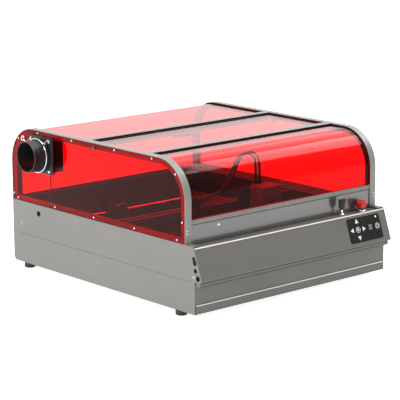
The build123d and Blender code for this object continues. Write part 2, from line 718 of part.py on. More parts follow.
with BuildPart() as x_belt:
    with BuildSketch(XZ(274)):
        with Locations(((XP_X + XI_X) / 2, XB_Z)):
            SlotCenterToCenter(XI_X - XP_X, 2 * BELT_OUT)
            SlotCenterToCenter(XI_X - XP_X, 2 * BELT_IN, mode=Mode.SUBTRACT)
    extrude(amount=6)
save(x_belt, "x_belt")

with BuildPart() as x_motor:
    block(XP_X - 21, XP_X + 21, 319.4, 356, XB_Z - 21, XB_Z + 21)
    chamfer(x_motor.edges().filter_by(Axis.Y), 3)
    block(XP_X - 21, XP_X + 21, 315, 319.4, BEAM_Z0 + 0.2, XB_Z + 24)
    rod_y(XP_X, XB_Z, 2.56, 314, 332, mode=Mode.SUBTRACT)
save(x_motor, "x_motor")

for name, px, y1 in (("x_drive_pulley", XP_X, 330.0), ("x_idler_pulley", XI_X, 299.0)):
    with BuildPart() as pulley:
        rod_y(px, XB_Z, PULLEY_R, 267.2, 274.8)
        rod_y(px, XB_Z, 7.4, 266.6, 267.6)
        rod_y(px, XB_Z, 2.5, 274, y1)
    save(pulley, name)

with BuildPart() as hose_anchor:
    block(-48, -14, 289, 313.5, BEAM_Z1, 172.5)
    block(-28, -15.8, 300.5, 311.5, 172, 193)
    block(-47, -34.8, 291.6, 302.2, 172, 193)
save(hose_anchor, "hose_anchor")

# ---------------------------------------------------------------------------
# Carriage and laser head
# ---------------------------------------------------------------------------
with BuildPart() as carriage_plate:
    block(66, 162, 262, 266, 126, 204)
    fillet(carriage_plate.edges().filter_by(Axis.Y), 4)
    block(90, 140, 265.5, 280.7, 146, 170.5)
    block(89, 141, 274.7, 281, 151.7, 164.3, mode=Mode.SUBTRACT)
    block(124, 136, 250, 262.5, 130, 200)
    block(118, 163, 257, 279, 200, 207)
    rod_z(145.7, 270.9, 5.2, 206.5, 214)
    rod_z(126.5, 263.4, 5.2, 206.5, 214)
save(carriage_plate, "carriage_plate")

with BuildPart() as laser_housing:
    block(HEAD_X0, HEAD_X1, 210, 255, 126, 210)
    fillet(laser_housing.edges().filter_by(Axis.Z), 2.5)
    chamfer(laser_housing.edges().group_by(Axis.Z)[-1], 1.0)
    block(123.9, 136.1, 249.9, 256, 125, 211, mode=Mode.SUBTRACT)
    for i in range(9):
        block(HEAD_X0 - 1, HEAD_X0 + 3, 216 + i * 4, 218 + i * 4, 134, 196, mode=Mode.SUBTRACT)
        block(HEAD_X1 - 3, HEAD_X1 + 1, 216 + i * 4, 218 + i * 4, 134, 196, mode=Mode.SUBTRACT)
save(laser_housing, "laser_housing")

with BuildPart() as laser_nozzle:
    with BuildSketch(Plane(origin=(CX + 130, FY + 232, 0), x_dir=(1, 0, 0), z_dir=(0, -1, 0))):
        with BuildLine():
            Polyline(
                (2.5, 84), (5, 84), (11.5, 98), (14.5, 104), (14.5, 126), (2.5, 126), close=True
            )
        make_face()
    revolve(axis=Axis((CX + 130, FY + 232, 0), (0, 0, 1)))
save(laser_nozzle, "laser_nozzle")

# hoses between the carriage and the beam: straight runs joined by tangent arcs
HOSE_R = 3.5
HX, HY = -0.978, 0.207
ROUTE = [
    (0, 214.4), (0, 265.9), (11.3, 281.4), (29.5, 287.3), (47.7, 281.4), (58.9, 265.9),
    (87.0, 210.7), (106.0, 197.0), (135.0, 189.0), (164.6, 186.1),
]


def hose_points(x, y):
    return [(CX + x + HX * t, FY + y + HY * t, z) for t, z in ROUTE]


for name, hx, hy in (("air_hose", 145.7, 270.9), ("laser_cable", 126.5, 263.4)):
    pts = [Vector(*p) for p in hose_points(hx, hy)]
    radii = []
    for i in range(1, len(pts) - 1):
        u, v = pts[i] - pts[i - 1], pts[i + 1] - pts[i]
        turn = math.radians(u.get_angle(v))
        radii.append(0.45 * min(u.length, v.length) / math.tan(turn / 2))
    print(name, "arc radii", [round(r, 1) for r in radii])
    with BuildPart() as hose:
        with BuildLine() as hose_path:
            FilletPolyline(*pts, radius=radii)
        with BuildSketch(Plane(origin=pts[0], z_dir=(0, 0, 1))):
            Circle(HOSE_R)
        sweep()
    hose_length = sum(e.length for e in hose_path.edges())
    print(
        name,
        "length", round(hose_length, 1),
        "volume ratio", round(hose.part.volume / (math.pi * HOSE_R**2 * hose_length), 4),
    )
    save(hose, name)
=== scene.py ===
import math

import bmesh
import bpy
from mathutils import Matrix, Vector


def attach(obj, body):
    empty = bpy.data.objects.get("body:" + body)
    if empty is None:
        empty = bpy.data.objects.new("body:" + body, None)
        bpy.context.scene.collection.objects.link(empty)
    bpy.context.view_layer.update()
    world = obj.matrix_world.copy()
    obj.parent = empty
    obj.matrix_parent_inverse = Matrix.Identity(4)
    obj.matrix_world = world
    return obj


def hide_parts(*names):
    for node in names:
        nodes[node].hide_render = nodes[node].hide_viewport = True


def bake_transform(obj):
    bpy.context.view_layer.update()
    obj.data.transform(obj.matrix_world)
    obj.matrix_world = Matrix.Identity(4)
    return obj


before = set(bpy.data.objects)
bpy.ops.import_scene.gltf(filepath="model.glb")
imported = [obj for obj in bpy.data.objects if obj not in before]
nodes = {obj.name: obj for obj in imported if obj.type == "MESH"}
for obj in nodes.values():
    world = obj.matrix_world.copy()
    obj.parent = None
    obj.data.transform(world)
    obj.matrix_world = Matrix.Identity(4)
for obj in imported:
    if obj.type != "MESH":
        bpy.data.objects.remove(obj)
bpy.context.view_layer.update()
scene = bpy.context.scene

# ---------------------------------------------------------------------------
# Machine coordinates in mm, as in the CAD source, to the row frame in metres
# ---------------------------------------------------------------------------
CX, FY = 22.9, -327.4575
TILT = math.atan2(24.8, 70.5)
FS, FC = math.sin(TILT), math.cos(TILT)


def P(x, y, z):
    return Vector(((x + CX) / 1000.0, (y + FY) / 1000.0, z / 1000.0))


def on_face(x, s, h):
    """A point on the sloping console face: across, down the face, and proud of it."""
    return P(x, 1.2 - FS * s - FC * h, 163.5 - FC * s + FS * h)


FACE_MATRIX = Matrix(((1, 0, 0), (0, FS, -FC), (0, FC, FS))).to_4x4()
# columns: across, up the face, outwards

# ---------------------------------------------------------------------------
# Camera
# ---------------------------------------------------------------------------
YAW, PITCH, ROLL = 0.717085, -0.216516, -0.0048135
fw = Vector((math.sin(YAW) * math.cos(PITCH), math.cos(YAW) * math.cos(PITCH), math.sin(PITCH)))
rt = fw.cross(Vector((0, 0, 1))).normalized()
up = rt.cross(fw)
r2 = rt * math.cos(ROLL) + up * math.sin(ROLL)
u2 = up * math.cos(ROLL) - rt * math.sin(ROLL)
cam_data = bpy.data.cameras.new("camera")
cam_data.lens = 162.65
cam_data.sensor_width = 36.0
cam_data.clip_end = 60.0
camera = bpy.data.objects.new("camera", cam_data)
scene.collection.objects.link(camera)
camera.matrix_world = Matrix.Translation((-2.773062, -3.2091145, 1.112386)) @ Matrix((r2, u2, -fw)).transposed().to_4x4()
scene.camera = camera
scene.view_settings.view_transform = "Standard"
scene.view_settings.look = "None"


# ---------------------------------------------------------------------------
# Materials
# ---------------------------------------------------------------------------
def srgb(r, g, b):
    def lin(c):
        c /= 255.0
        return c / 12.92 if c <= 0.04045 else ((c + 0.055) / 1.055) ** 2.4

    return (lin(r), lin(g), lin(b), 1.0)


def scaled(c, k):
    return (min(1, c[0] * k), min(1, c[1] * k), min(1, c[2] * k), 1.0)


def glossy_coat(m, ior, rough):
    """A clear semi-gloss lacquer over a paint, which mirrors what stands close to it."""
    s = [n for n in m.node_tree.nodes if n.type == "BSDF_PRINCIPLED"][0]
    s.inputs["Coat Weight"].default_value = 1.0
    s.inputs["Coat IOR"].default_value = ior
    s.inputs["Coat Roughness"].default_value = rough
    return m


class Nodes:
    """A short way to build a node tree."""

    def __init__(self, name):
        self.m = bpy.data.materials.new(name)
        self.m.use_nodes = True
        self.nt = self.m.node_tree
        self.nt.nodes.clear()
        self.out = self.nt.nodes.new("ShaderNodeOutputMaterial")
        self.coord = self.nt.nodes.new("ShaderNodeTexCoord").outputs["Object"]

    def link(self, a, b):
        self.nt.links.new(a, b)

    def add(self, kind, **props):
        n = self.nt.nodes.new(kind)
        for k, v in props.items():
            setattr(n, k, v)
        return n

    def stretch(self, sx, sy, sz, src=None):
        n = self.add("ShaderNodeMapping")
        n.inputs["Scale"].default_value = (sx, sy, sz)
        self.link(src or self.coord, n.inputs["Vector"])
        return n.outputs["Vector"]

    def noise(self, scale, detail=3.0, rough=0.55, vec=None, distortion=0.0):
        n = self.add("ShaderNodeTexNoise")
        n.inputs["Scale"].default_value = scale
        n.inputs["Detail"].default_value = detail
        n.inputs["Roughness"].default_value = rough
        n.inputs["Distortion"].default_value = distortion
        self.link(vec or self.coord, n.inputs["Vector"])
        return n.outputs["Fac"]

    def remap(self, value, a, b, lo=0.3, hi=0.7):
        n = self.add("ShaderNodeMapRange")
        n.inputs["From Min"].default_value = lo
        n.inputs["From Max"].default_value = hi
        n.inputs["To Min"].default_value = a
        n.inputs["To Max"].default_value = b
        self.link(value, n.inputs["Value"])
        return n.outputs["Result"]

    def math(self, op, a, b=None, clamp=False):
        n = self.add("ShaderNodeMath", operation=op, use_clamp=clamp)
        for i, v in enumerate((a, b)):
            if v is None:
                continue
            if isinstance(v, (int, float)):
                n.inputs[i].default_value = v
            else:
                self.link(v, n.inputs[i])
        return n.outputs[0]

    def mix(self, fac, a, b):
        n = self.add("ShaderNodeMix", data_type="RGBA")
        for sock, v in (("Factor", fac), ("A", a), ("B", b)):
            target = [s for s in n.inputs if s.name == sock and s.enabled][0]
            if isinstance(v, (tuple, float, int)):
                target.default_value = v
            else:
                self.link(v, target)
        return [s for s in n.outputs if s.enabled][0]

    def bevel(self, radius):
        n = self.add("ShaderNodeBevel", samples=4)
        n.inputs["Radius"].default_value = radius
        return n.outputs["Normal"]

    def bump(self, height, distance, strength=1.0, normal=None):
        n = self.add("ShaderNodeBump")
        n.inputs["Strength"].default_value = strength
        n.inputs["Distance"].default_value = distance
        self.link(height, n.inputs["Height"])
        if normal is not None:
            self.link(normal, n.inputs["Normal"])
        return n.outputs["Normal"]


def powder(name, base, rough=0.5, bevel=0.0007, dark=0.95, light=1.04, spec=0.5):
    """Powder-coated sheet: orange-peel skin, faint cloudiness, handled edges."""
    k = Nodes(name)
    broad = k.noise(7.0, 4.0)
    fine = k.noise(1500.0, 2.0, 0.6)
    peel = k.noise(620.0, 2.0, 0.5)
    colour = k.mix(k.remap(broad, 0.0, 1.0), scaled(base, dark), scaled(base, light))
    colour = k.mix(k.remap(fine, 0.0, 0.16, 0.45, 0.75), colour, scaled(base, 1.6))
    s = k.add("ShaderNodeBsdfPrincipled")
    s.inputs["IOR"].default_value = 1.5
    s.inputs["Specular IOR Level"].default_value = spec
    k.link(colour, s.inputs["Base Color"])
    k.link(k.remap(k.noise(38.0, 4.0), rough - 0.06, rough + 0.07), s.inputs["Roughness"])
    k.link(k.bump(peel, 0.00005, 0.5, k.bevel(bevel)), s.inputs["Normal"])
    k.link(s.outputs[0], k.out.inputs["Surface"])
    return k.m


def zoned(name, low, high, at, axis="Z"):
    """One folded part in two tones: low below at metres along the axis, high beyond it, where the high tone is darker
    as painted shade for the part that lies in shadow.
    """
    k = Nodes(name)
    sep = k.add("ShaderNodeSeparateXYZ")
    k.link(k.coord, sep.inputs[0])
    zone = k.math("GREATER_THAN", sep.outputs[axis], at)
    broad = k.noise(7.0, 4.0)
    grey = k.mix(k.remap(broad, 0.0, 1.0), scaled(low, 0.9), scaled(low, 1.08))
    # painted shade: the darker tone beyond the split
    black = k.mix(k.remap(broad, 0.0, 1.0), scaled(high, 0.8), scaled(high, 1.2))
    s = k.add("ShaderNodeBsdfPrincipled")
    k.link(k.mix(zone, grey, black), s.inputs["Base Color"])
    k.link(k.remap(k.noise(38.0, 4.0), 0.32, 0.45), s.inputs["Roughness"])
    k.link(k.bump(k.noise(620.0, 2.0, 0.5), 0.00005, 0.5, k.bevel(0.0007)), s.inputs["Normal"])
    k.link(s.outputs[0], k.out.inputs["Surface"])
    return k.m


def shaded_inside(name, outside, inside):
    """Folded sheet with a darker inner skin, as painted shade for the unlit inside of the machine: the shaded zone is
    the space inside the machine's walls.
    """
    k = Nodes(name)
    sep = k.add("ShaderNodeSeparateXYZ")
    k.link(k.coord, sep.inputs[0])
    across = k.math("LESS_THAN", k.math("ABSOLUTE", k.math("SUBTRACT", sep.outputs["X"], CX / 1000.0)), 0.2990)
    front = k.math("GREATER_THAN", sep.outputs["Y"], (40.0 + FY) / 1000.0)
    back = k.math("LESS_THAN", sep.outputs["Y"], (676.4 + FY) / 1000.0)
    below = k.math("LESS_THAN", sep.outputs["Z"], 0.1655)
    shade_mask = k.math("MULTIPLY", k.math("MULTIPLY", across, front), k.math("MULTIPLY", back, below))
    broad = k.noise(7.0, 4.0)
    grey = k.mix(k.remap(broad, 0.0, 1.0), scaled(outside, 0.95), scaled(outside, 1.04))
    grey = k.mix(k.remap(k.noise(1500.0, 2.0, 0.6), 0.0, 0.16, 0.45, 0.75), grey, scaled(outside, 1.6))
    # painted shade: the inner skin's colour, darker for the unlit inside of the machine
    dark = k.mix(k.remap(broad, 0.0, 1.0), scaled(inside, 0.8), scaled(inside, 1.2))
    s = k.add("ShaderNodeBsdfPrincipled")
    s.inputs["IOR"].default_value = 1.5
    s.inputs["Specular IOR Level"].default_value = 0.3
    k.link(k.mix(shade_mask, grey, dark), s.inputs["Base Color"])
    k.link(k.remap(k.noise(38.0, 4.0), 0.39, 0.52), s.inputs["Roughness"])
    k.link(k.bump(k.noise(620.0, 2.0, 0.5), 0.00005, 0.5, k.bevel(0.0007)), s.inputs["Normal"])
    k.link(s.outputs[0], k.out.inputs["Surface"])
    return k.m


def plastic(name, base, rough=0.4, grain=900.0, depth=0.00003, bevel=0.0004, coat=0.0, var=0.2, spec=0.5):
    """Moulded plastic: fine spark-eroded grain, slight shade changes."""
    k = Nodes(name)
    colour = k.mix(k.remap(k.noise(24.0, 5.0), 0.0, 1.0), scaled(base, 1 - var), scaled(base, 1 + var))
    s = k.add("ShaderNodeBsdfPrincipled")
    s.inputs["Specular IOR Level"].default_value = spec
    s.inputs["Coat Weight"].default_value = coat
    s.inputs["Coat Roughness"].default_value = 0.08
    k.link(colour, s.inputs["Base Color"])
    k.link(k.remap(k.noise(90.0, 4.0), rough - 0.06, rough + 0.08), s.inputs["Roughness"])
    k.link(k.bump(k.noise(grain, 2.0), depth, 0.6, k.bevel(bevel)), s.inputs["Normal"])
    k.link(s.outputs[0], k.out.inputs["Surface"])
    return k.m


def metal(name, base, rough=0.28, grain=(1, 1, 1), scale=300.0, depth=0.00002, bevel=0.0004, var=0.14, smudge=0.12):
    """Metal with a direction to its grain, and smudges that change its gloss."""
    k = Nodes(name)
    lines = k.noise(scale, 3.0, 0.6, k.stretch(*grain))
    colour = k.mix(k.remap(lines, 0.0, 1.0), scaled(base, 1 - var), scaled(base, 1 + var))
    s = k.add("ShaderNodeBsdfPrincipled")
    s.inputs["Metallic"].default_value = 1.0
    k.link(colour, s.inputs["Base Color"])
    marks = k.noise(45.0, 5.0, 0.6)
    k.link(k.remap(marks, max(0.03, rough - smudge / 2), rough + smudge), s.inputs["Roughness"])
    k.link(k.bump(lines, depth, 0.5, k.bevel(bevel)), s.inputs["Normal"])
    k.link(s.outputs[0], k.out.inputs["Surface"])
    return k.m


def anodised(name, base, rough=0.42, grain=(1, 30, 30)):
    """Anodised aluminium: half metal, with faint drawing lines."""
    k = Nodes(name)
    lines = k.noise(60.0, 3.0, 0.6, k.stretch(*grain))
    colour = k.mix(k.remap(lines, 0.0, 1.0), scaled(base, 0.8), scaled(base, 1.3))
    s = k.add("ShaderNodeBsdfPrincipled")
    s.inputs["Metallic"].default_value = 0.55
    k.link(colour, s.inputs["Base Color"])
    k.link(k.remap(k.noise(1800.0, 2.0), rough - 0.05, rough + 0.06), s.inputs["Roughness"])
    k.link(k.bump(lines, 0.00002, 0.4, k.bevel(0.0005)), s.inputs["Normal"])
    k.link(s.outputs[0], k.out.inputs["Surface"])
    return k.m


def acrylic(name, tint, base=0.006, edge=0.9):
    """Tinted cast acrylic: colour by what passes through, gloss by the angle, faint wipe marks."""
    k = Nodes(name)
    clear = k.add("ShaderNodeBsdfTransparent")
    swirl = k.noise(9.0, 4.0, 0.6, distortion=0.6)
    k.link(k.mix(k.remap(swirl, 0.0, 1.0), scaled(tint, 0.985), tint), clear.inputs["Color"])
    shine = k.add("ShaderNodeBsdfGlossy")
    shine.inputs["Color"].default_value = (1.0, 1.0, 1.0, 1.0)
    k.link(k.remap(k.noise(60.0, 5.0, 0.6, k.stretch(1, 0.3, 1)), 0.05, 0.09), shine.inputs["Roughness"])
    facing = k.add("ShaderNodeLayerWeight")
    facing.inputs["Blend"].default_value = 0.5
    schlick = k.math("MULTIPLY_ADD", k.math("POWER", facing.outputs["Facing"], 5.0), edge)
    schlick.node.inputs[2].default_value = base
    top = k.add("ShaderNodeMixShader")
    k.link(schlick, top.inputs[0])
    k.link(clear.outputs[0], top.inputs[1])
    k.link(shine.outputs[0], top.inputs[2])
    k.link(top.outputs[0], k.out.inputs["Surface"])
    return k.m


def worn_bed(name):
    """Bed slats: raw steel, browned and sooted where the beam has passed."""
    k = Nodes(name)
    lines = k.noise(120.0, 3.0, 0.6, k.stretch(1, 12, 12))
    colour = k.mix(k.remap(lines, 0.0, 1.0), srgb(96, 96, 96), srgb(150, 150, 150))
    soot = k.noise(22.0, 6.0, 0.65, distortion=0.4)
    colour = k.mix(k.remap(soot, 0.0, 0.85, 0.42, 0.68), colour, srgb(62, 50, 42))
    s = k.add("ShaderNodeBsdfPrincipled")
    s.inputs["Metallic"].default_value = 0.8
    k.link(colour, s.inputs["Base Color"])
    k.link(k.remap(soot, 0.3, 0.65), s.inputs["Roughness"])
    k.link(k.bump(lines, 0.00003, 0.5, k.bevel(0.0003)), s.inputs["Normal"])
    k.link(s.outputs[0], k.out.inputs["Surface"])
    return k.m


def belt_mat(name, axis):
    """Toothed belt: the pitch shows as fine ribs along its run."""
    k = Nodes(name)
    w = k.add("ShaderNodeTexWave", wave_type="BANDS", bands_direction=axis)
    w.inputs["Scale"].default_value = 160.0
    k.link(k.coord, w.inputs["Vector"])
    s = k.add("ShaderNodeBsdfPrincipled")
    k.link(k.mix(k.remap(w.outputs["Fac"], 0.0, 1.0, 0.0, 1.0), srgb(20, 20, 21), srgb(44, 44, 45)), s.inputs["Base Color"])
    k.link(k.remap(k.noise(200.0), 0.5, 0.7), s.inputs["Roughness"])
    k.link(k.bump(w.outputs["Fac"], 0.0002, 0.6), s.inputs["Normal"])
    k.link(s.outputs[0], k.out.inputs["Surface"])
    return k.m


def lamp_mat(name, colour, strength):
    """A lit lens: its colour and glow vary faintly across the diffuser."""
    k = Nodes(name)
    s = k.add("ShaderNodeBsdfPrincipled")
    k.link(k.mix(k.remap(k.noise(900.0, 2.0), 0.0, 1.0), scaled(colour, 0.9), colour), s.inputs["Base Color"])
    k.link(k.mix(k.remap(k.noise(900.0, 2.0), 0.0, 1.0), scaled(colour, 0.9), colour), s.inputs["Emission Color"])
    s.inputs["Emission Strength"].default_value = strength
    s.inputs["Roughness"].default_value = 0.25
    k.link(s.outputs[0], k.out.inputs["Surface"])
    return k.m


PANEL = srgb(107, 106, 102)
FRONT = srgb(98, 97, 93)
BAND = srgb(122, 121, 117)
M = {
    "panel": powder("panel_powder_coat", PANEL, 0.45, spec=0.3),
    "console": powder("console_powder_coat", srgb(99, 98, 94), 0.45, spec=0.3),
    "drawer_front": powder("drawer_powder_coat", FRONT, 0.45, spec=0.3),
    "band": powder("band_powder_coat", srgb(122, 121, 117), 0.42, bevel=0.0009, spec=0.5),
    # near-black frame coat: painted shade for frames lying in shadow under the glass
    "dark_frame": powder("frame_coat_painted_shade", srgb(34, 32, 32), 0.5),
    # near-white: painted highlight on the rounded bends
    "edge": powder("painted_highlight_edge", srgb(226, 223, 216), 0.5, bevel=0.0002),
    # inner coat: darkened as painted shade for surfaces inside the machine
    "inner": powder("inner_coat_painted_shade", srgb(58, 57, 56), 0.55, spec=0.3),
    "red": acrylic("red_acrylic", (0.97, 0.09, 0.092, 1)),
    "red_top": acrylic("red_acrylic_top", (0.97, 0.09, 0.092, 1)),
    "black_plastic": plastic("black_moulding", srgb(17, 17, 19), 0.42, spec=0.3),
    "duct": plastic("duct_moulding", srgb(30, 30, 32), 0.38, grain=700, spec=0.35),
    "overlay": plastic("overlay_film", srgb(24, 24, 25), 0.4, spec=0.14, grain=2200, depth=0.00001, bevel=0.0003),
    "key": plastic("key_cap_rubber", srgb(26, 26, 27), 0.45, spec=0.14, grain=1500, bevel=0.0005),
    "stop": plastic("stop_red", srgb(182, 6, 10), 0.34, grain=1500, depth=0.00001, coat=0.1, var=0.08, spec=0.35),
    "bright": metal("bright_steel", srgb(205, 205, 203), 0.2),
    "screw": metal("screw_steel", srgb(214, 212, 208), 0.22, scale=900.0, bevel=0.0003),
    "clamp": metal("clamp_steel", srgb(222, 222, 222), 0.16, grain=(1, 6, 6)),
    "rubber": plastic("rubber_black", srgb(24, 24, 25), 0.62, grain=500, depth=0.00006),
    "side_line": plastic("side_line_shade", srgb(66, 65, 63), 0.6, spec=0.2),
    "rocker": plastic("rocker_black", srgb(14, 14, 15), 0.5, spec=0.12),
    # dark rubber, also used for dark strips of painted shade in steps and gaps
    "seal": plastic("seal_rubber_and_painted_shade", srgb(16, 10, 10), 0.7, grain=500, depth=0.00006, spec=0.12),
    "housing": anodised("head_anodised", srgb(112, 112, 114), 0.42),
    "belt_x": belt_mat("belt_x", "X"),
    "belt_y": belt_mat("belt_y", "Y"),
    "pcb": plastic("board_green", srgb(18, 78, 42), 0.35, grain=260, depth=0.00008, var=0.35),
    "anodised": anodised("black_anodised", srgb(40, 40, 42)),
    "rail": anodised("rail_aluminium", srgb(104, 104, 106), 0.36, (30, 1, 30)),
    "motor": anodised("motor_black", srgb(24, 24, 26), 0.4, (30, 30, 1)),
    "bed": worn_bed("bed_steel"),
    "oxide": metal("hinge_oxide", srgb(96, 70, 66), 0.35, scale=600.0),
    "panel_gloss": glossy_coat(powder("front_panel_coat", srgb(66, 65, 62), 0.45, spec=0.3), 1.85, 0.17),
    # side and rear panels: inner skin darkened as painted shade inside the machine
    "panel_shaded_inside": shaded_inside("panel_coat_with_inside_shade", PANEL, srgb(36, 35, 35)),
    # painted shade: the base pan darker inside the machine, and the lid frame darker above the rail under the glass
    "pan_shade_zoned": zoned("pan_coat_with_painted_shade", srgb(91, 90, 87), srgb(44, 43, 43), (6.0 + FY) / 1000.0, "Y"),
    "lid_frame_shade_zoned": zoned("lid_frame_coat_with_painted_shade", srgb(114, 113, 109), srgb(30, 28, 28), 0.2205),
    "tray": metal("tray_steel", srgb(125, 124, 120), 0.38, grain=(1, 20, 20), scale=60.0, bevel=0.0006),
    "hose": plastic("hose_black", srgb(26, 26, 27), 0.34, grain=400, depth=0.00003, var=0.1),
    "icon": plastic("icon_white", srgb(226, 226, 224), 0.5, grain=1500, depth=0.00001, var=0.04),
    "led": lamp_mat("led_white", srgb(255, 255, 250), 1.2),
    "lens": plastic("lens_glass", srgb(10, 11, 16), 0.05, grain=300, depth=0.000005, coat=1.0, var=0.3),
    "key_plastic": plastic("key_head", srgb(24, 23, 23), 0.4, grain=1200, spec=0.2),
    "brass": metal("brass_tip", srgb(190, 150, 84), 0.3, scale=500.0),
    "copper": metal("copper_pad", srgb(190, 180, 120), 0.35, scale=900.0),
}

DRESS = {
    "base_pan": "pan_shade_zoned", "side_panel_left": "panel_shaded_inside", "side_panel_right": "panel_shaded_inside", "rear_panel": "panel_shaded_inside",
    "front_panel": "panel_gloss", "console_shell": "console", "control_overlay": "overlay", "control_board": "pcb",
    "key_lock_barrel": "bright", "safety_key": "key_plastic", "estop_collar": "bright", "estop_stem": "black_plastic",
    "estop_cap": "stop", "power_rocker": "rocker", "port_board": "black_plastic", "feet": "rubber",
    "band_left": "band", "band_right": "band", "side_window_left": "red", "side_window_right": "red",
    "rear_hood_window": "red_top", "rear_hood_frame": "band", "camera_pod": "black_plastic", "hinge_pins": "oxide",
    "panel_screws": "screw", "exhaust_spigot": "duct", "hose_clamp": "clamp", "fan_housing": "black_plastic",
    "fan_rotor": "black_plastic", "fan_lead": "hose", "lid_window_top": "red_top", "lid_window_front": "red_top",
    "lid_crossbar": "band", "lid_frame": "lid_frame_shade_zoned", "work_bed": "bed", "debris_drawer": "drawer_front", "y_rails": "rail",
    "y_belts": "belt_y", "y_drive_shaft": "bright", "y_idler_pulleys": "bright", "y_motor": "motor",
    "gantry_beam": "anodised", "gantry_end_plates": "anodised", "x_belt": "belt_x", "x_motor": "motor",
    "x_drive_pulley": "bright", "x_idler_pulley": "bright", "hose_anchor": "black_plastic",
    "carriage_plate": "anodised", "laser_housing": "housing", "laser_nozzle": "brass", "air_hose": "hose",
    "laser_cable": "hose", "key_up": "key", "key_left": "key", "key_start": "key", "key_right": "key",
    "key_down": "key", "key_frame": "key", "key_power": "key",
}
for node, mat in DRESS.items():
    ob = nodes[node]
    if not ob.material_slots:
        ob.data.materials.append(M[mat])
    for sl in ob.material_slots:
        sl.material = M[mat]
for node in nodes:
    assert node in DRESS, node


# ---------------------------------------------------------------------------
# Mesh building
# ---------------------------------------------------------------------------
def piece(name, bm, mat, body, smooth=True, angle=35):
    bmesh.ops.recalc_face_normals(bm, faces=bm.faces)
    me = bpy.data.meshes.new(name)
    bm.to_mesh(me)
    bm.free()
    ob = bpy.data.objects.new(name, me)
    scene.collection.objects.link(ob)
    me.materials.append(M[mat])
    if smooth:
        for p in me.polygons:
            p.use_smooth = True
        me.set_sharp_from_angle(angle=math.radians(angle))
    if body:
        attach(ob, body)
    return ob


def lathe(bm, outline, centre, axis, turns=40, wave=None):
    """Turns an outline of (radius, height) about axis. A radius of 0 closes it."""
    axis = Vector(axis).normalized()
    side = axis.orthogonal().normalized()
    other = axis.cross(side)
    rings = []
    for i, (r, h) in enumerate(outline):
        if r <= 1e-6:
            rings.append([bm.verts.new(centre + axis * h / 1000)])
            continue
        ring = []
        for j in range(turns):
            a = 2 * math.pi * j / turns
            rr = r * (wave(i, a) if wave else 1.0)
            ring.append(bm.verts.new(centre + axis * h / 1000 + (side * math.cos(a) + other * math.sin(a)) * rr / 1000))
        rings.append(ring)
    for a, b in zip(rings, rings[1:]):
        for j in range(turns):
            k = (j + 1) % turns
            if len(a) == 1 and len(b) == 1:
                continue
            if len(a) == 1:
                bm.faces.new((a[0], b[j], b[k]))
            elif len(b) == 1:
                bm.faces.new((a[j], b[0], a[k]))
            else:
                bm.faces.new((a[j], b[j], b[k], a[k]))
    return rings


def prism(bm, outline, matrix, depth):
    """A closed plate from a flat outline of (x, y) in mm, raised by depth along the matrix's third axis."""
    low = [bm.verts.new(matrix @ Vector((x / 1000, y / 1000, 0))) for x, y in outline]
    high = [bm.verts.new(matrix @ Vector((x / 1000, y / 1000, depth / 1000))) for x, y in outline]
    n = len(outline)
    bm.faces.new(low[::-1])
    bm.faces.new(high)
    for i in range(n):
        j = (i + 1) % n
        bm.faces.new((low[i], low[j], high[j], high[i]))


def ring_prism(bm, r0, r1, matrix, depth, turns=32, a0=0.0, a1=360.0):
    """A flat ring, or an arc of one."""
    full = a1 - a0 >= 359.9
    n = turns if full else turns + 1
    loops = []
    for r, z in ((r0, 0), (r1, 0), (r1, depth), (r0, depth)):
        loops.append([
            bm.verts.new(matrix @ Vector((
                r / 1000 * math.cos(math.radians(a0 + (a1 - a0) * i / turns)),
                r / 1000 * math.sin(math.radians(a0 + (a1 - a0) * i / turns)), z / 1000)))
            for i in range(n)])
    steps = turns
    for a, b in zip(loops, loops[1:] + loops[:1]):
        for i in range(steps):
            j = (i + 1) % n
            bm.faces.new((a[i], a[j], b[j], b[i]))
    if not full:
        bm.faces.new([lp[0] for lp in loops])
        bm.faces.new([lp[-1] for lp in loops][::-1])


def box_mm(bm, x0, x1, y0, y1, z0, z1, bevel=0.0):
    made = bmesh.ops.create_cube(bm, size=1.0)["verts"]
    a, b = P(x0, y0, z0), P(x1, y1, z1)
    for v in made:
        v.co = Vector([a[i] + (b[i] - a[i]) * (v.co[i] + 0.5) for i in range(3)])
    if bevel:
        edges = list({e for v in made for e in v.link_edges})
        bmesh.ops.bevel(bm, geom=edges, offset=bevel / 1000, segments=2, affect="EDGES", profile=0.5)


def rounded(w, h, r, steps=5):
    pts = []
    for cx, cy, a in ((w / 2 - r, h / 2 - r, 0), (-w / 2 + r, h / 2 - r, 90), (-w / 2 + r, -h / 2 + r, 180), (w / 2 - r, -h / 2 + r, 270)):
        for i in range(steps + 1):
            t = math.radians(a + 90 * i / steps)
            pts.append((cx + r * math.cos(t), cy + r * math.sin(t)))
    return pts


def face_at(x, s, h):
    return Matrix.Translation(on_face(x, s, h)) @ FACE_MATRIX


# ---------------------------------------------------------------------------
# Hoses from the laser carriage to the beam
# ---------------------------------------------------------------------------
ROUTE = [(0.0, 214.4), (0.0, 265.9), (11.3, 281.4), (29.5, 287.3), (47.7, 281.4), (58.9, 265.9), (87.0, 210.7), (106.0, 197.0), (135.0, 189.0), (164.6, 186.1)]
HOSE_R = 3.5


def route_points(points):
    """The points along a NURBS route, as Blender evaluates it."""
    cu = bpy.data.curves.new("route", "CURVE")
    cu.dimensions = "3D"
    cu.resolution_u = 12
    sp = cu.splines.new("NURBS")
    sp.points.add(len(points) - 1)
    for q, p in zip(sp.points, points):
        q.co = (*p, 1.0)
    sp.order_u = 3
    sp.use_endpoint_u = True
    ob = bpy.data.objects.new("route", cu)
    scene.collection.objects.link(ob)
    bpy.context.view_layer.update()
    me = bpy.data.meshes.new_from_object(ob.evaluated_get(bpy.context.evaluated_depsgraph_get()))
    pts = [v.co.copy() for v in me.vertices]
    bpy.data.objects.remove(ob)
    bpy.data.curves.remove(cu)
    bpy.data.meshes.remove(me)
    return pts


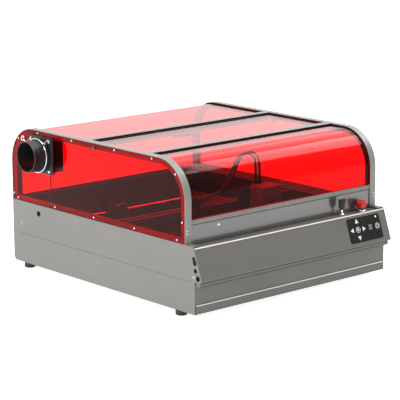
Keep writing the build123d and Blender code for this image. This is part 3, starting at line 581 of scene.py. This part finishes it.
def tube(name, pts, radius, mat, turns=16):
    bm = bmesh.new()
    frames = []
    normal = (pts[1] - pts[0]).orthogonal().normalized()
    for i, p in enumerate(pts):
        t = (pts[min(i + 1, len(pts) - 1)] - pts[max(i - 1, 0)]).normalized()
        normal = (normal - t * normal.dot(t)).normalized()
        frames.append((p, normal.copy(), t.cross(normal)))
    rings = []
    for p, n, b in frames:
        rings.append([bm.verts.new(p + (n * math.cos(2 * math.pi * j / turns) + b * math.sin(2 * math.pi * j / turns)) * radius / 1000) for j in range(turns)])
    for a, b in zip(rings, rings[1:]):
        for j in range(turns):
            k = (j + 1) % turns
            bm.faces.new((a[j], b[j], b[k], a[k]))
    bm.faces.new(rings[0])
    bm.faces.new(rings[-1][::-1])
    return piece(name, bm, mat, None, angle=60)


for name, node, x0, y0 in (("air_hose_tube", "air_hose", 145.7, 270.9), ("laser_cable_tube", "laser_cable", 126.5, 263.4)):
    points = [P(x0 - 0.978 * t, y0 + 0.207 * t, z) for t, z in ROUTE]
    pts = route_points(points)
    ob = tube(name, pts, HOSE_R, "hose")
    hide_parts(node)
    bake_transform(ob)

# ---------------------------------------------------------------------------
# Screws: button heads with a hexagon socket, one for each plain head of the CAD
# ---------------------------------------------------------------------------
def islands(ob):
    me = ob.data
    parent = list(range(len(me.vertices)))

    def root(i):
        while parent[i] != i:
            parent[i] = parent[parent[i]]
            i = parent[i]
        return i

    for e in me.edges:
        a, b = root(e.vertices[0]), root(e.vertices[1])
        if a != b:
            parent[a] = b
    seen = {}
    where = {}
    for v in me.vertices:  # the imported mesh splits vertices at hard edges, so equal places count as one
        key = tuple(round(c * 1e5) for c in v.co)
        r = root(v.index)
        if key in where:
            q = root(where[key])
            if q != r:
                parent[r] = q
        else:
            where[key] = v.index
    for v in me.vertices:
        seen.setdefault(root(v.index), []).append(v.co)
    return list(seen.values())


def screw_head(bm, base, out, r, h, r_socket, depth):
    """A button head standing on base and facing out, with a hexagonal socket."""
    outline = [(r * 0.98, 0.0), (r, h * 0.15), (r, h * 0.35), (r * 0.9, h * 0.75), (r * 0.72, h * 0.97), (r_socket * 1.22, h)]
    rings = lathe(bm, outline, base, out, 24)
    axis = Vector(out).normalized()
    side = axis.orthogonal().normalized()
    other = axis.cross(side)
    hexa = []
    for lift in (h, h - depth):
        hexa.append([bm.verts.new(base + axis * lift / 1000 + (side * math.cos(math.pi * j / 3) + other * math.sin(math.pi * j / 3)) * r_socket / 1000) for j in range(6)])
    top = rings[-1]
    for j in range(6):
        k = (j + 1) % 6
        fan = [top[(4 * j + i) % 24] for i in range(5)]
        for i in range(2):
            bm.faces.new((hexa[0][j], fan[i], fan[i + 1]))
        bm.faces.new((hexa[0][j], fan[2], hexa[0][k]))
        for i in range(2, 4):
            bm.faces.new((hexa[0][k], fan[i], fan[i + 1]))
        bm.faces.new((hexa[0][j], hexa[1][j], hexa[1][k], hexa[0][k]))
    bm.faces.new(hexa[1])
    bm.faces.new(rings[0])


bm = bmesh.new()
for pts in islands(nodes["panel_screws"]):
    lo = Vector([min(p[i] for p in pts) for i in range(3)])
    hi = Vector([max(p[i] for p in pts) for i in range(3)])
    mid = (lo + hi) / 2
    size = hi - lo
    small = min(size.y, size.z) if size.x > 0.0045 else 0
    if abs(size.y - size.z) < 0.0004 and size.x > 0.004:  # lies across the machine
        out = -1 if mid.x < CX / 1000 else 1
        head_x = lo.x if out < 0 else hi.x
        if size.y > 0.0065:
            screw_head(bm, Vector((head_x - out * 0.003, mid.y, mid.z)), (out, 0, 0), 3.8, 3.0, 1.5, 1.6)
        else:
            screw_head(bm, Vector((head_x - out * 0.0012, mid.y, mid.z)), (out, 0, 0), 2.3, 1.2, 0.9, 0.7)
    else:
        screw_head(bm, Vector((mid.x, lo.y + 0.0009, mid.z)), (0, -1, 0), 1.9, 0.9, 0.75, 0.5)
screws = piece("panel_screw_heads", bm, "screw", "base", angle=30)
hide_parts("panel_screws")

# ---------------------------------------------------------------------------
# Safety key: moulded head with a keyring hole on a steel blade
# ---------------------------------------------------------------------------
KEY_MID = P(173.5, 17.6, 0)
stand = Matrix.Translation(KEY_MID) @ Matrix.Rotation(math.pi / 2, 4, "X")
bm = bmesh.new()
HEAD = [(-3.4, 177.4), (-6.6, 180.4), (-9.4, 185.0), (-10.6, 190.4), (-10.8, 197.0), (-10.7, 201.6), (-9.2, 203.4), (-4.0, 203.5), (0, 203.5),
        (4.0, 203.5), (9.2, 203.4), (10.7, 201.6), (10.8, 197.0), (10.6, 190.4), (9.4, 185.0), (6.6, 180.4), (3.4, 177.4)]
hole = [(1.9 * math.cos(a) + 6.6, 199.6 + 1.7 * math.sin(a)) for a in [2 * math.pi * i / 16 for i in range(16)]]
half = 1.6 / 1000


def plate_with_hole(bm, outline, hole, matrix, t):
    """A plate with a hole, both faces bridged by triangles from the outline to the hole."""
    def smooth_outline(pts, n=6):
        out = []
        m = len(pts)
        for i in range(m):
            p0, p1, p2, p3 = (Vector(pts[(i + k - 1) % m]) for k in range(4))
            for s in range(n):
                u = s / n
                out.append(tuple(0.5 * ((2 * p1) + (-p0 + p2) * u + (2 * p0 - 5 * p1 + 4 * p2 - p3) * u * u + (-p0 + 3 * p1 - 3 * p2 + p3) * u ** 3)))
        return out

    outer = smooth_outline(outline)
    mid = Vector((sum(p[0] for p in outer) / len(outer), sum(p[1] for p in outer) / len(outer)))
    c = Vector((sum(p[0] for p in hole) / len(hole), sum(p[1] for p in hole) / len(hole)))
    layers = []
    for inset, z in ((0.55, -t), (0.0, -t + 0.55), (0.0, t - 0.55), (0.55, t)):
        layers.append([bm.verts.new(matrix @ Vector(((p[0] - (p[0] - mid.x) * inset / 9) / 1000, (p[1] - (p[1] - mid.y) * inset / 11) / 1000, z / 1000))) for p in outer])
    for a, b in zip(layers, layers[1:]):
        for i in range(len(outer)):
            j = (i + 1) % len(outer)
            bm.faces.new((a[i], a[j], b[j], b[i]))
    holes = [[bm.verts.new(matrix @ Vector((p[0] / 1000, p[1] / 1000, z / 1000))) for p in hole] for z in (-t, t)]
    for i in range(len(hole)):
        j = (i + 1) % len(hole)
        bm.faces.new((holes[0][i], holes[0][j], holes[1][j], holes[1][i]))
    for ring, h in ((layers[0], holes[0]), (layers[-1], holes[1])):
        edges = []
        for lp in (ring, h):
            for i in range(len(lp)):
                e = bm.edges.get((lp[i], lp[(i + 1) % len(lp)]))
                edges.append(e)
        bmesh.ops.triangle_fill(bm, edges=edges, use_beauty=True)


plate_with_hole(bm, HEAD, hole, stand, 1.6)
key_head = piece("safety_key_head", bm, "key_plastic", "key", angle=45)
bm = bmesh.new()
BLADE = [(-2.6, 158.6), (-1.4, 157.2), (1.4, 157.2), (2.6, 158.6), (2.6, 182.0), (-2.6, 182.0)]
prism(bm, BLADE, stand @ Matrix.Translation((0, 0, -0.0009)), 1.8)
lathe(bm, [(0, 167.05), (5.4, 167.05), (5.7, 167.5), (5.2, 168.4), (3.4, 169.3), (2.6, 170.8), (2.3, 173.0), (0, 173.0)], KEY_MID, (0, 0, 1), 28)
blade = piece("safety_key_blade", bm, "bright", "key")
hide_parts("safety_key")

# ---------------------------------------------------------------------------
# Emergency stop: fluted mushroom cap
# ---------------------------------------------------------------------------
STOP = P(239.2, 17.6, 0)


def flutes(i, a):
    depth = (0, 0, 0.0, 0.02, 0.06, 0.09, 0.11, 0.12, 0.13, 0.13, 0.1, 0.04, 0, 0)[min(i, 13)]
    return 1.0 - depth * (0.5 - 0.5 * math.cos(8 * a))


bm = bmesh.new()
CAP = [(6.9, 178.0), (6.9, 172.8), (10.0, 172.8), (10.6, 173.3), (10.8, 175.4), (11.3, 178.6), (12.4, 181.6), (13.8, 184.2), (14.6, 185.8),
       (14.65, 187.2), (13.9, 188.5), (11.6, 189.3), (6.0, 189.85), (0, 190.0)]
lathe(bm, CAP, STOP, (0, 0, 1), 96, flutes)
# the blind end of the socket
inner = [v for v in bm.verts if abs(v.co.z - 0.178) < 1e-6]
bm.faces.new(inner)
cap = piece("estop_cap_fluted", bm, "stop", "estop_head", angle=50)
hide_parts("estop_cap")

# ---------------------------------------------------------------------------
# Keypad symbols, printed on each key
# ---------------------------------------------------------------------------
TOP = 1.0
THICK = 0.12
KEYS = {"key_up": (199.4, 16.0), "key_left": (180.3, 35.8), "key_start": (199.4, 35.8), "key_right": (218.5, 35.8),
        "key_down": (199.4, 55.4), "key_frame": (241.1, 35.6), "key_power": (264.5, 35.6)}
TRI = [(0.0, 6.2), (-5.6, -4.0), (5.6, -4.0)]


def turned(pts, degrees):
    a = math.radians(degrees)
    return [(x * math.cos(a) - y * math.sin(a), x * math.sin(a) + y * math.cos(a)) for x, y in pts]


for name, (kx, ks) in KEYS.items():
    at = face_at(kx, ks, TOP)
    bm = bmesh.new()
    if name in ("key_up", "key_left", "key_down", "key_right"):
        a = {"key_up": 0, "key_left": 90, "key_down": 180, "key_right": -90}[name]
        prism(bm, turned(TRI, a), at, THICK)
    elif name == "key_start":
        ring_prism(bm, 5.9, 7.0, at, THICK, 40)
        prism(bm, [(-2.4, 3.9), (-2.4, -3.9), (4.1, 0)], at, THICK)
    elif name == "key_frame":
        w, h = 9.6, 9.4
        for i in range(4):
            for sy in (-1, 1):
                cx = -w / 2 + 1.15 + i * (w - 2.3) / 3
                prism(bm, [(cx - 1.1, sy * h / 2 - 0.5), (cx + 1.1, sy * h / 2 - 0.5), (cx + 1.1, sy * h / 2 + 0.5), (cx - 1.1, sy * h / 2 + 0.5)], at, THICK)
        for sx in (-1, 1):
            for cy in (-2.0, 2.0):
                prism(bm, [(sx * w / 2 - 0.5, cy - 1.1), (sx * w / 2 + 0.5, cy - 1.1), (sx * w / 2 + 0.5, cy + 1.1), (sx * w / 2 - 0.5, cy + 1.1)], at, THICK)
        prism(bm, [(-2.6, -1.3), (2.6, -1.3), (2.6, -0.1), (-2.6, -0.1)], at, THICK)
    else:
        ring_prism(bm, 5.9, 7.0, at, THICK, 40)
        ring_prism(bm, 2.9, 3.9, at, THICK, 28, 125, 415)
        prism(bm, [(-0.55, 0.8), (0.55, 0.8), (0.55, 4.6), (-0.55, 4.6)], at, THICK)
    piece("icon_" + name, bm, "icon", name + "_cap", smooth=False)

# the status lamp
bm = bmesh.new()
lathe(bm, [(0, -0.6), (1.95, -0.6), (1.95, 0.85), (1.7, 1.05), (0, 1.2)], on_face(264.6, 13.3, 0), FACE_MATRIX.col[2][:3], 24)
piece("status_lamp", bm, "led", "base")

# ---------------------------------------------------------------------------
# Small trim
# ---------------------------------------------------------------------------
# lid sensor dot on the front panel
bm = bmesh.new()
m = Matrix.Translation(P(-200, 33.0, 198.0)) @ Matrix.Rotation(math.pi / 2, 4, "X")
prism(bm, rounded(8, 5, 2.4), m, 0.5)
piece("lid_sensor_mark", bm, "icon", "base")
# grommet on the left panel where the fan lead goes through
bm = bmesh.new()
lathe(bm, [(4.9, 0.2), (4.9, -2.6), (5.6, -2.6), (5.6, 0.0), (6.6, 0.0), (6.9, 0.35), (6.6, 0.9), (5.9, 1.0), (4.9, 0.2)], P(-300, 572.6, 146.5), (-1, 0, 0), 32)
piece("lead_grommet", bm, "rubber", "base")
# blanking screw on the left panel
bm = bmesh.new()
screw_head(bm, P(-300, 642.8, 113.7), (-1, 0, 0), 2.2, 1.0, 0.85, 0.6)
piece("side_screw", bm, "screw", "base")
# ring round the DC inlet
bm = bmesh.new()
lathe(bm, [(2.4, 0.0), (2.4, 0.35), (3.1, 0.35), (3.1, 0.0)], P(-300, 3.0, 99.9), (-1, 0, 0), 28)
for f in list(bm.faces):
    pass
piece("inlet_mark", bm, "icon", "base")

# rubber seal and painted shade: a dark seal on the front edge of each crossbar, also darkening the step down to the
# glass as painted shade, and a dark strip in the inner corner of each band beside the glass as painted shade for the
# shadowed step
def strip_along_x(name, x0, x1, outline, mat, body):
    """An extrusion across the machine, from an outline of (y, z) in mm."""
    bm = bmesh.new()
    ends = [[bm.verts.new(P(x, y, z)) for y, z in outline] for x in (x0, x1)]
    n = len(outline)
    bm.faces.new(ends[0])
    bm.faces.new(ends[1][::-1])
    for i in range(n):
        j = (i + 1) % n
        bm.faces.new((ends[0][i], ends[1][i], ends[1][j], ends[0][j]))
    return piece(name, bm, mat, body, angle=30)


def seal(y):
    """A dark seal down a crossbar's front edge at y, its darkness partly painted shade for the step in front of it."""
    return [(y - 0.02, 350.9), (y - 0.5, 350.8), (y - 1.1, 349.8), (y - 1.3, 348.3), (y - 0.9, 347.4), (y - 0.02, 347.35)]


strip_along_x("crossbar_seal_shade_front", -280.4, 280.4, seal(165.0), "seal", "lid")
strip_along_x("crossbar_seal_shade_rear", -280.8, 280.8, seal(383.0), "seal", "base")


def band_step_shade(name, x0, x1):
    """A dark strip in the step between a band's inner edge and the glass, all the way round the hood: painted shade for
    the shadowed step.
    """
    bm = bmesh.new()
    path = [(31.0, 222.0), (31.0, 261.3)]
    path += [(120.6 - 89.6 * math.cos(math.radians(a)), 261.3 + 89.6 * math.sin(math.radians(a))) for a in range(6, 90, 6)]
    path += [(120.6, 350.9), (591.7, 350.9)]
    path += [(591.7 + 85.6 * math.sin(math.radians(a)), 265.3 + 85.6 * math.cos(math.radians(a))) for a in range(6, 91, 6)]
    path += [(677.3, 222.0)]
    rows = []
    for n, (y, z) in enumerate(path):
        a, b = path[max(0, n - 1)], path[min(len(path) - 1, n + 1)]
        ty, tz = b[0] - a[0], b[1] - a[1]
        d = math.hypot(ty, tz)
        ny, nz = tz / d, -ty / d  # inwards
        rows.append([bm.verts.new(P(x, y + ny * h, z + nz * h)) for x, h in ((x0, 0), (x1, 0), (x1, 3.5), (x0, 3.5))])
    for a, b in zip(rows, rows[1:]):
        for k in range(4):
            m = (k + 1) % 4
            bm.faces.new((a[k], a[m], b[m], b[k]))
    bm.faces.new(rows[0])
    bm.faces.new(rows[-1][::-1])
    piece(name, bm, "seal", "base", angle=30)


band_step_shade("band_step_shade_right", 280.78, 281.15)
band_step_shade("band_step_shade_left", -281.15, -280.78)

# dust filter behind the rear vents: a foam pad with a waffle of ribs
bm = bmesh.new()
box_mm(bm, 116, 250, 673.2, 675.7, 55, 99, 1.0)
for i in range(9):
    box_mm(bm, 118 + i * 14.4, 119.5 + i * 14.4, 672.4, 673.4, 57, 97, 0.3)
piece("vent_filter", bm, "seal", "base")

# the fine joint line along the left side, where two sheets meet
bm = bmesh.new()
for k in range(3):
    y0 = 12 + 221 * k
    box_mm(bm, -300.14, -299.8, y0, y0 + 220.6, 87.2, 87.9, 0.05)
piece("side_joint_line", bm, "side_line", "base")

# folded tabs that close the console lip at its ends, each with a rivet
for side, label in ((-1, "left"), (1, "right")):
    bm = bmesh.new()
    x0, x1 = sorted((side * 297.7, side * 296.3))
    box_mm(bm, x0, x1, -15.45, -0.2, 79.9, 91.5, 0.4)
    box_mm(bm, *sorted((side * 296.6, side * 288.0)), -13.9, -12.7, 82.0, 90.0, 0.3)
    lathe(bm, [(0, -0.1), (1.7, -0.1), (1.5, 0.12), (0, 0.2)], P(side * 297.7, -7.6, 85.4), (side, 0, 0), 16)
    piece("lip_end_" + label, bm, "drawer_front", "base")

# bright cut edges with a painted highlight: near-white strips along the top bend of the console and the lip of the
# drawer stand for the light the rounded bends catch
strip_along_x("console_edge_highlight", -297.7, 297.7, [(4.6, 164.02), (4.5, 164.3), (1.4, 164.35), (0.4, 163.9), (0.25, 162.9), (0.75, 162.6)], "edge", "base")
strip_along_x("drawer_edge_highlight", -296.8, 296.8, [(-1.82, 34.0), (-2.1, 34.2), (-2.1, 35.6), (-1.9, 36.0), (-0.2, 36.0), (-0.2, 35.82), (-1.82, 35.82)], "edge", "drawer")
strip_along_x("ledge_shadow_gap", -280.0, 280.0, [(32.98, 164.05), (32.6, 164.05), (32.6, 165.6), (32.98, 166.0)], "seal", "base")
# a dark strip in the gap under the lid rail: painted shade for the dark gap
strip_along_x("lid_rail_gap_shade", -279.5, 279.5, [(32.6, 209.58), (32.4, 208.3), (41.0, 208.3), (41.4, 209.58)], "seal", "lid")
strip_along_x("lip_lower_line", -297.0, 297.0, [(-15.55, 79.95), (-15.85, 80.0), (-15.85, 81.1), (-15.55, 81.2)], "side_line", "base")
strip_along_x("lip_shadow_gap", -297.0, 297.0, [(-15.6, 87.4), (-15.9, 87.4), (-15.9, 89.2), (-15.6, 89.2)], "rubber", "base")

# laser head: vent dots on the front face, and ribs
bm = bmesh.new()
for i in range(5):
    lathe(bm, [(0, 0.0), (0.9, 0.0), (0.9, 0.35), (0, 0.5)], P(128 + 5.5 * i, 210.0, 198.0), (0, -1, 0), 14)
piece("laser_head_dots", bm, "icon", "laser_head")
bm = bmesh.new()
for i in range(7):
    box_mm(bm, 104, 156, 209.2, 210.1, 140 + 6.4 * i, 142.6 + 6.4 * i, 0.25)
piece("laser_head_ribs", bm, "anodised", "laser_head")

# camera pod lens
bm = bmesh.new()
lathe(bm, [(0, -3.1), (2.2, -3.0), (3.3, -2.6), (4.4, -2.2), (5.2, -2.2), (5.6, -1.6), (5.6, 0.6), (0, 0.6)], P(11, 391.8, 323.0), (0, 0, 1), 32)
piece("camera_lens", bm, "lens", "base")

# ---------------------------------------------------------------------------
# Room, lamps
# ---------------------------------------------------------------------------
def floor_mat():
    k = Nodes("floor")
    s = k.add("ShaderNodeBsdfPrincipled")
    k.link(k.mix(k.remap(k.noise(3.0, 3.0), 0.0, 1.0), (0.5, 0.5, 0.5, 1), (0.53, 0.53, 0.53, 1)), s.inputs["Base Color"])
    s.inputs["Roughness"].default_value = 0.7
    s.inputs["Specular IOR Level"].default_value = 0.2
    s.inputs["Emission Color"].default_value = (1, 1, 1, 1)
    s.inputs["Emission Strength"].default_value = 0.9
    k.link(s.outputs[0], k.out.inputs["Surface"])
    return k.m


bm = bmesh.new()
bmesh.ops.create_grid(bm, x_segments=1, y_segments=1, size=30.0)
fl = bpy.data.meshes.new("floor")
bm.to_mesh(fl)
bm.free()
floor = bpy.data.objects.new("floor", fl)
scene.collection.objects.link(floor)
fl.materials.append(floor_mat())
floor.location.z = -0.0005

world = bpy.data.worlds.new("studio")
scene.world = world
world.use_nodes = True
wn = world.node_tree
wn.nodes.clear()
wo = wn.nodes.new("ShaderNodeOutputWorld")
bg = wn.nodes.new("ShaderNodeBackground")
tc = wn.nodes.new("ShaderNodeTexCoord")
dot = wn.nodes.new("ShaderNodeVectorMath")
dot.operation = "DOT_PRODUCT"
dot.inputs[1].default_value = (0.62, 0.70, 0.35)  # towards the backdrop
mr = wn.nodes.new("ShaderNodeMapRange")
mr.interpolation_type = "SMOOTHSTEP"
mr.inputs["From Min"].default_value = -0.5
mr.inputs["From Max"].default_value = 0.75
mr.inputs["To Min"].default_value = 0.62
mr.inputs["To Max"].default_value = 1.35
wn.links.new(tc.outputs["Generated"], dot.inputs[0])
wn.links.new(dot.outputs["Value"], mr.inputs["Value"])
wn.links.new(mr.outputs["Result"], bg.inputs["Strength"])
bg.inputs["Color"].default_value = (1, 1, 1, 1)
wn.links.new(bg.outputs[0], wo.inputs["Surface"])


def softbox(name, at, target, w, h, power):
    d = bpy.data.lights.new(name, "AREA")
    d.shape = "RECTANGLE"
    d.size, d.size_y = w, h
    d.energy = power
    ob = bpy.data.objects.new(name, d)
    scene.collection.objects.link(ob)
    ob.location = at
    ob.rotation_euler = (Vector(target) - Vector(at)).to_track_quat("-Z", "Y").to_euler()
    return ob


softbox("key_left", (-3.2, 0.6, 1.5), (0, 0, 0.15), 1.8, 1.8, 95)
softbox("top", (0.2, 0.3, 3.2), (0, 0, 0.2), 2.2, 1.6, 60)
# soft screens over the right: the curved glass mirrors them as one soft band with a sharp lower edge
for name, y0, y1, power in (("screen_low", -1.14, 0.15, 40), ("screen_wide", -1.14, 1.5, 15)):
    screen = softbox(name, (2.05, (y0 + y1) / 2, 2.2), (0.05, (y0 + y1) / 2 - 0.1, 0.35), y1 - y0, 1.1, power)
    screen.visible_diffuse = False

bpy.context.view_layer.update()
